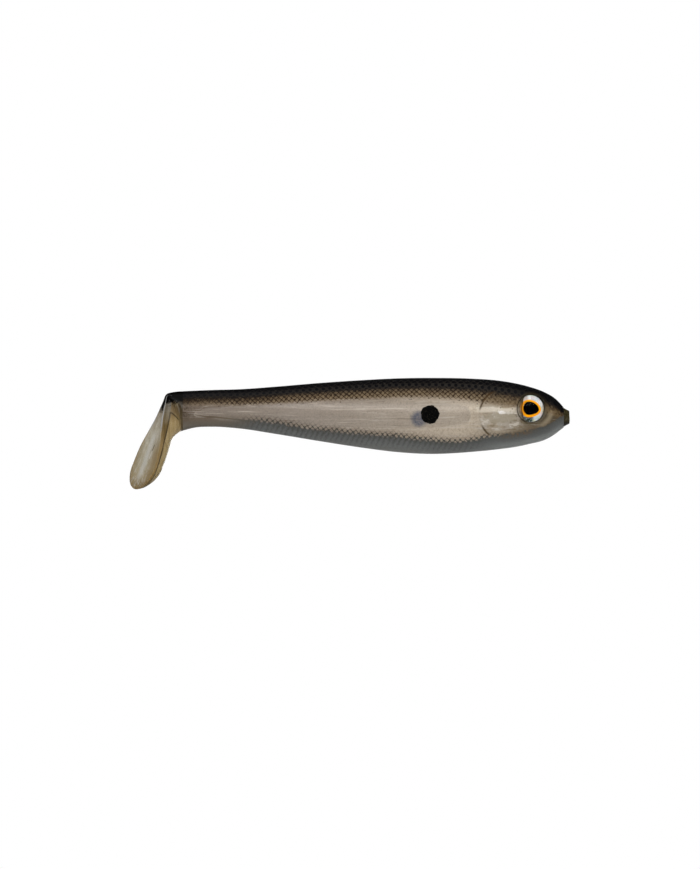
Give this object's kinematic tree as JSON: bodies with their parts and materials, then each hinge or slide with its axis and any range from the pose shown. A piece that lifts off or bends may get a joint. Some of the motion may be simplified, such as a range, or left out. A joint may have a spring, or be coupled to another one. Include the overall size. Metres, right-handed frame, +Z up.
{
  "type": "swimbait",
  "caption": "Soft-plastic fishing lure shaped as a bait fish, with a hollow foil-lined body, cast eyes, a nose plug and a boot tail that sways, kicks and folds.",
  "frame": {"origin": "centre of the nose plug's flat face", "axes": "+X along the body and out of the nose, +Z up through the back, +Y to the fish's left"},
  "size_m": [0.1395, 0.0231, 0.0353],
  "materials": {
    "smoke_plastisol": "glossy translucent soft plastic with a pearl fleck",
    "back_plastisol": "glossy soft plastic, black",
    "belly_plastisol": "glossy soft plastic, blue-grey",
    "tail_plastisol": "glossy clear soft plastic, smoke tint",
    "plug_plastisol": "satin soft plastic, olive",
    "pearl_foil": "thin wrinkled pearl foil",
    "prism_foil": "silver prismatic foil",
    "orange_print": "orange print",
    "black_print": "black print",
    "cast_resin": "clear cast resin",
    "spot_ink": "matt black pigment, slightly grainy"
  },
  "bodies": {
    "front_body": {"front_shell": "smoke_plastisol", "back_layer_front": "back_plastisol", "belly_layer_front": "belly_plastisol", "foil_liner_front": "pearl_foil", "nose_plug": "plug_plastisol", "eye_backing_left": "prism_foil", "eye_backing_right": "prism_foil", "iris_ring_left": "orange_print", "iris_ring_right": "orange_print", "pupil_left": "black_print", "pupil_right": "black_print", "eye_dome_left": "cast_resin", "eye_dome_right": "cast_resin", "side_spot_left": "spot_ink", "side_spot_right": "spot_ink"},
    "rear_body": {"rear_shell": "smoke_plastisol", "back_layer_rear": "back_plastisol", "belly_layer_rear": "belly_plastisol", "foil_liner_rear": "pearl_foil"},
    "stalk": {"stalk_core": "smoke_plastisol", "back_layer_stalk": "back_plastisol", "belly_layer_stalk": "belly_plastisol"},
    "tail": {"tail_heel": "tail_plastisol"},
    "paddle": {"paddle_blade": "tail_plastisol"}
  },
  "joints": [
    {"name": "body_sway", "type": "hinge", "parent": "front_body", "child": "rear_body", "pos_m": [-0.07932, 0, 0], "axis": [0, 0, 1], "range_deg": [-15, 15], "stiffness_Nm_per_rad": 0.02},
    {"name": "stalk_sway", "type": "hinge", "parent": "rear_body", "child": "stalk", "pos_m": [-0.10605, 0, 0], "axis": [0, 0, 1], "range_deg": [-25, 25], "stiffness_Nm_per_rad": 0.006},
    {"name": "tail_kick", "type": "hinge", "parent": "stalk", "child": "tail", "pos_m": [-0.1226, 0, 0.00223], "axis": [0, 0, 1], "range_deg": [-68, 12], "stiffness_Nm_per_rad": 0.002},
    {"name": "paddle_fold", "type": "hinge", "parent": "tail", "child": "paddle", "pos_m": [-0.1311, -0.00452, -0.01062], "axis": [-0.4695, 0.8829, 0], "range_deg": [-10, 25], "stiffness_Nm_per_rad": 0.002}
  ]
}
